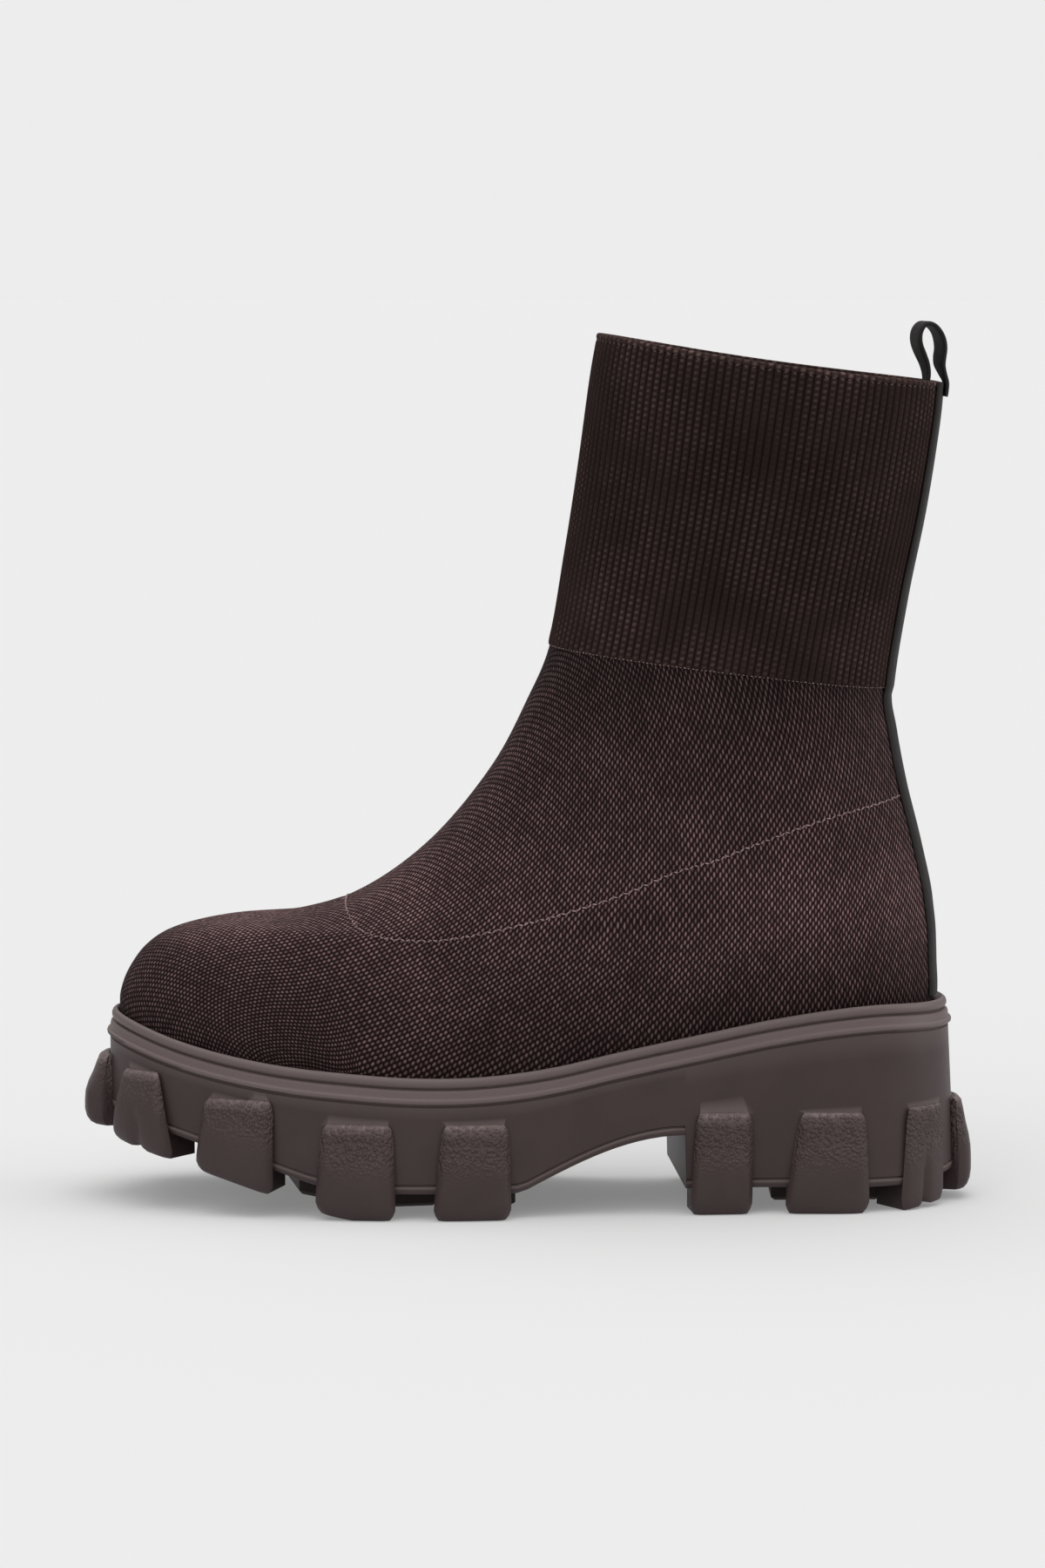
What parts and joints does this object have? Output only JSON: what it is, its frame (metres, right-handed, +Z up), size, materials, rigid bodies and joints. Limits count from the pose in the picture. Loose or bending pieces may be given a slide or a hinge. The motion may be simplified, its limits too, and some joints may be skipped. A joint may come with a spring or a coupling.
{
  "type": "sock boot",
  "caption": "Left pull-on sock boot: knitted upper with a ribbed cuff, back tape and pull loop on a thick moulded lug sole.",
  "frame": {"origin": "on the floor, in the middle of the boot's length and width", "axes": "+Z up, -X towards the toe, +X towards the heel, -Y the outer side of the foot, +Y the inner side"},
  "size_m": [0.2854, 0.1075, 0.2819],
  "materials": {
    "sole_rubber": "matte dark brown rubber, pebbled on the lugs",
    "knit": "dark brown knit with lighter stitch dots, ribbed cuff",
    "insole_fabric": "plain dark textile",
    "webbing": "smooth charcoal tape with a slight sheen"
  },
  "bodies": {
    "root": {"sole": "sole_rubber", "upper": "knit", "insole": "insole_fabric", "back_tape": "webbing", "pull_loop": "webbing"}
  },
  "joints": []
}
